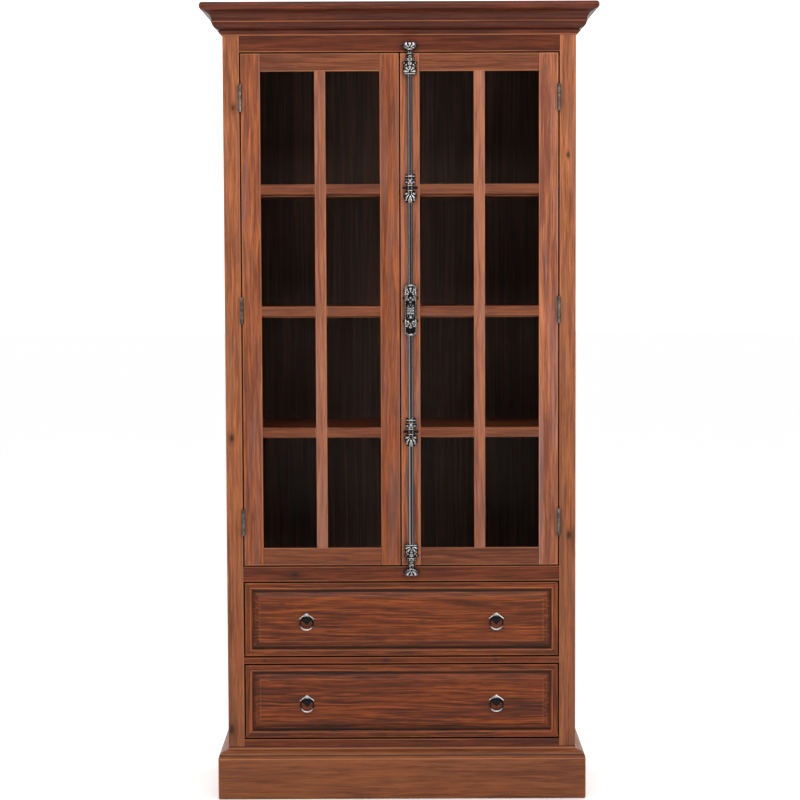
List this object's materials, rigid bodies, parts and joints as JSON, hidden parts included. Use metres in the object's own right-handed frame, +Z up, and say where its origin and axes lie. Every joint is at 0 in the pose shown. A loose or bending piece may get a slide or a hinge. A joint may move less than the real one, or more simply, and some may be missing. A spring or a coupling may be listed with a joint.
{
  "type": "china cabinet with glass doors",
  "caption": "Tall wooden display cabinet with glazed barred doors, a surface cremone bolt, shelves, and drawers with ring pulls on a moulded plinth under a moulded crown.",
  "frame": {"origin": "on the floor, at the centre of the cabinet's overall plan", "axes": "+X to the viewer's right when facing the doors, +Y from front to back, +Z up"},
  "size_m": [1.036, 0.45, 2.1],
  "materials": {
    "case_pine": "stained pine, satin lacquer, eased and lightly rubbed edges",
    "door_pine": "stained pine, satin lacquer, grey-brown open grain",
    "crown_pine": "dark red-brown stained pine, satin lacquer",
    "plinth_pine": "stained pine, satin lacquer",
    "drawer_pine": "red-brown stained pine with dark grain, satin lacquer",
    "shelf_pine": "stained pine, satin lacquer",
    "dark_interior": "dark stained, matt lacquer",
    "drawer_box_wood": "plain wood, sealed",
    "clear_glass": "clear float glass",
    "hinge_steel": "dull zinc plate",
    "antique_pewter": "cast, blackened and rubbed bright on the relief",
    "bolt_rod_steel": "drawn rod, polished gunmetal",
    "pinion_brass": "cut teeth, greased",
    "pull_pewter": "polished dark pewter"
  },
  "bodies": {
    "case": {"side_left": "case_pine", "side_right": "case_pine", "back_panel": "dark_interior", "carcass_top": "dark_interior", "carcass_deck": "dark_interior", "carcass_bottom": "dark_interior", "door_stop": "dark_interior", "face_stile_left": "case_pine", "face_stile_right": "case_pine", "frieze_rail": "case_pine", "middle_rail": "case_pine", "drawer_divider_rail": "case_pine", "base_rail": "case_pine", "top_board": "crown_pine", "crown_front": "crown_pine", "crown_returns": "crown_pine", "plinth_front": "plinth_pine", "plinth_returns": "plinth_pine", "shelf_lower": "shelf_pine", "shelf_middle": "shelf_pine", "shelf_upper": "shelf_pine", "shelf_pins": "hinge_steel", "drawer_runners": "drawer_box_wood", "hinge_frame_leaves": "hinge_steel", "cremone_keepers": "antique_pewter"},
    "left_door": {"left_door_hinge_stile": "door_pine", "left_door_meeting_stile": "door_pine", "left_door_top_rail": "door_pine", "left_door_bottom_rail": "door_pine", "left_door_muntins": "door_pine", "left_door_glass": "clear_glass", "left_door_beads": "dark_interior", "left_door_hinge_leaves": "hinge_steel"},
    "right_door": {"right_door_hinge_stile": "door_pine", "right_door_meeting_stile": "door_pine", "right_door_top_rail": "door_pine", "right_door_bottom_rail": "door_pine", "right_door_muntins": "door_pine", "right_door_glass": "clear_glass", "right_door_beads": "dark_interior", "right_door_hinge_leaves": "hinge_steel", "cremone_guides": "antique_pewter", "cremone_case": "antique_pewter"},
    "bolt_lever": {"cremone_lever": "antique_pewter", "cremone_pinion": "pinion_brass"},
    "bolt_upper_rod": {"cremone_upper_rod": "bolt_rod_steel"},
    "bolt_lower_rod": {"cremone_lower_rod": "bolt_rod_steel"},
    "upper_drawer": {"upper_drawer_front": "drawer_pine", "upper_drawer_box": "drawer_box_wood", "upper_drawer_bottom": "drawer_box_wood", "upper_pull_plates": "pull_pewter"},
    "upper_left_pull": {"upper_left_ring": "pull_pewter"},
    "upper_right_pull": {"upper_right_ring": "pull_pewter"},
    "lower_drawer": {"lower_drawer_front": "drawer_pine", "lower_drawer_box": "drawer_box_wood", "lower_drawer_bottom": "drawer_box_wood", "lower_pull_plates": "pull_pewter"},
    "lower_left_pull": {"lower_left_ring": "pull_pewter"},
    "lower_right_pull": {"lower_right_ring": "pull_pewter"}
  },
  "joints": [
    {"name": "left_door_hinge", "type": "hinge", "parent": "case", "child": "left_door", "pos_m": [-0.417, -0.17395, 1.297], "axis": [0, 0, -1], "range_deg": [0, 110]},
    {"name": "right_door_hinge", "type": "hinge", "parent": "case", "child": "right_door", "pos_m": [0.417, -0.17395, 1.297], "axis": [0, 0, 1], "range_deg": [0, 110]},
    {"name": "bolt_lever_turn", "type": "hinge", "parent": "right_door", "child": "bolt_lever", "pos_m": [0.027, -0.19, 1.3], "axis": [0, 1, 0], "range_deg": [0, 90]},
    {"name": "bolt_upper_rod_slide", "type": "slide", "parent": "right_door", "child": "bolt_upper_rod", "axis": [0, 0, 1], "range_m": [0, 0.0161]},
    {"name": "bolt_lower_rod_slide", "type": "slide", "parent": "right_door", "child": "bolt_lower_rod", "axis": [0, 0, -1], "range_m": [0, 0.0161]},
    {"name": "upper_drawer_slide", "type": "slide", "parent": "case", "child": "upper_drawer", "axis": [0, -1, 0], "range_m": [0, 0.3]},
    {"name": "upper_left_ring_swing", "type": "hinge", "parent": "upper_drawer", "child": "upper_left_pull", "pos_m": [-0.252, -0.175, 0.48588], "axis": [-1, 0, 0], "range_deg": [0, 95]},
    {"name": "upper_right_ring_swing", "type": "hinge", "parent": "upper_drawer", "child": "upper_right_pull", "pos_m": [0.252, -0.175, 0.48588], "axis": [-1, 0, 0], "range_deg": [0, 95]},
    {"name": "lower_drawer_slide", "type": "slide", "parent": "case", "child": "lower_drawer", "axis": [0, -1, 0], "range_m": [0, 0.3]},
    {"name": "lower_left_ring_swing", "type": "hinge", "parent": "lower_drawer", "child": "lower_left_pull", "pos_m": [-0.252, -0.175, 0.26562], "axis": [-1, 0, 0], "range_deg": [0, 95]},
    {"name": "lower_right_ring_swing", "type": "hinge", "parent": "lower_drawer", "child": "lower_right_pull", "pos_m": [0.252, -0.175, 0.26562], "axis": [-1, 0, 0], "range_deg": [0, 95]}
  ],
  "couplings": [
    {"joint": "bolt_upper_rod_slide", "follows": "bolt_lever_turn", "m_per_rad": 0.0102},
    {"joint": "bolt_lower_rod_slide", "follows": "bolt_lever_turn", "m_per_rad": 0.0102}
  ]
}
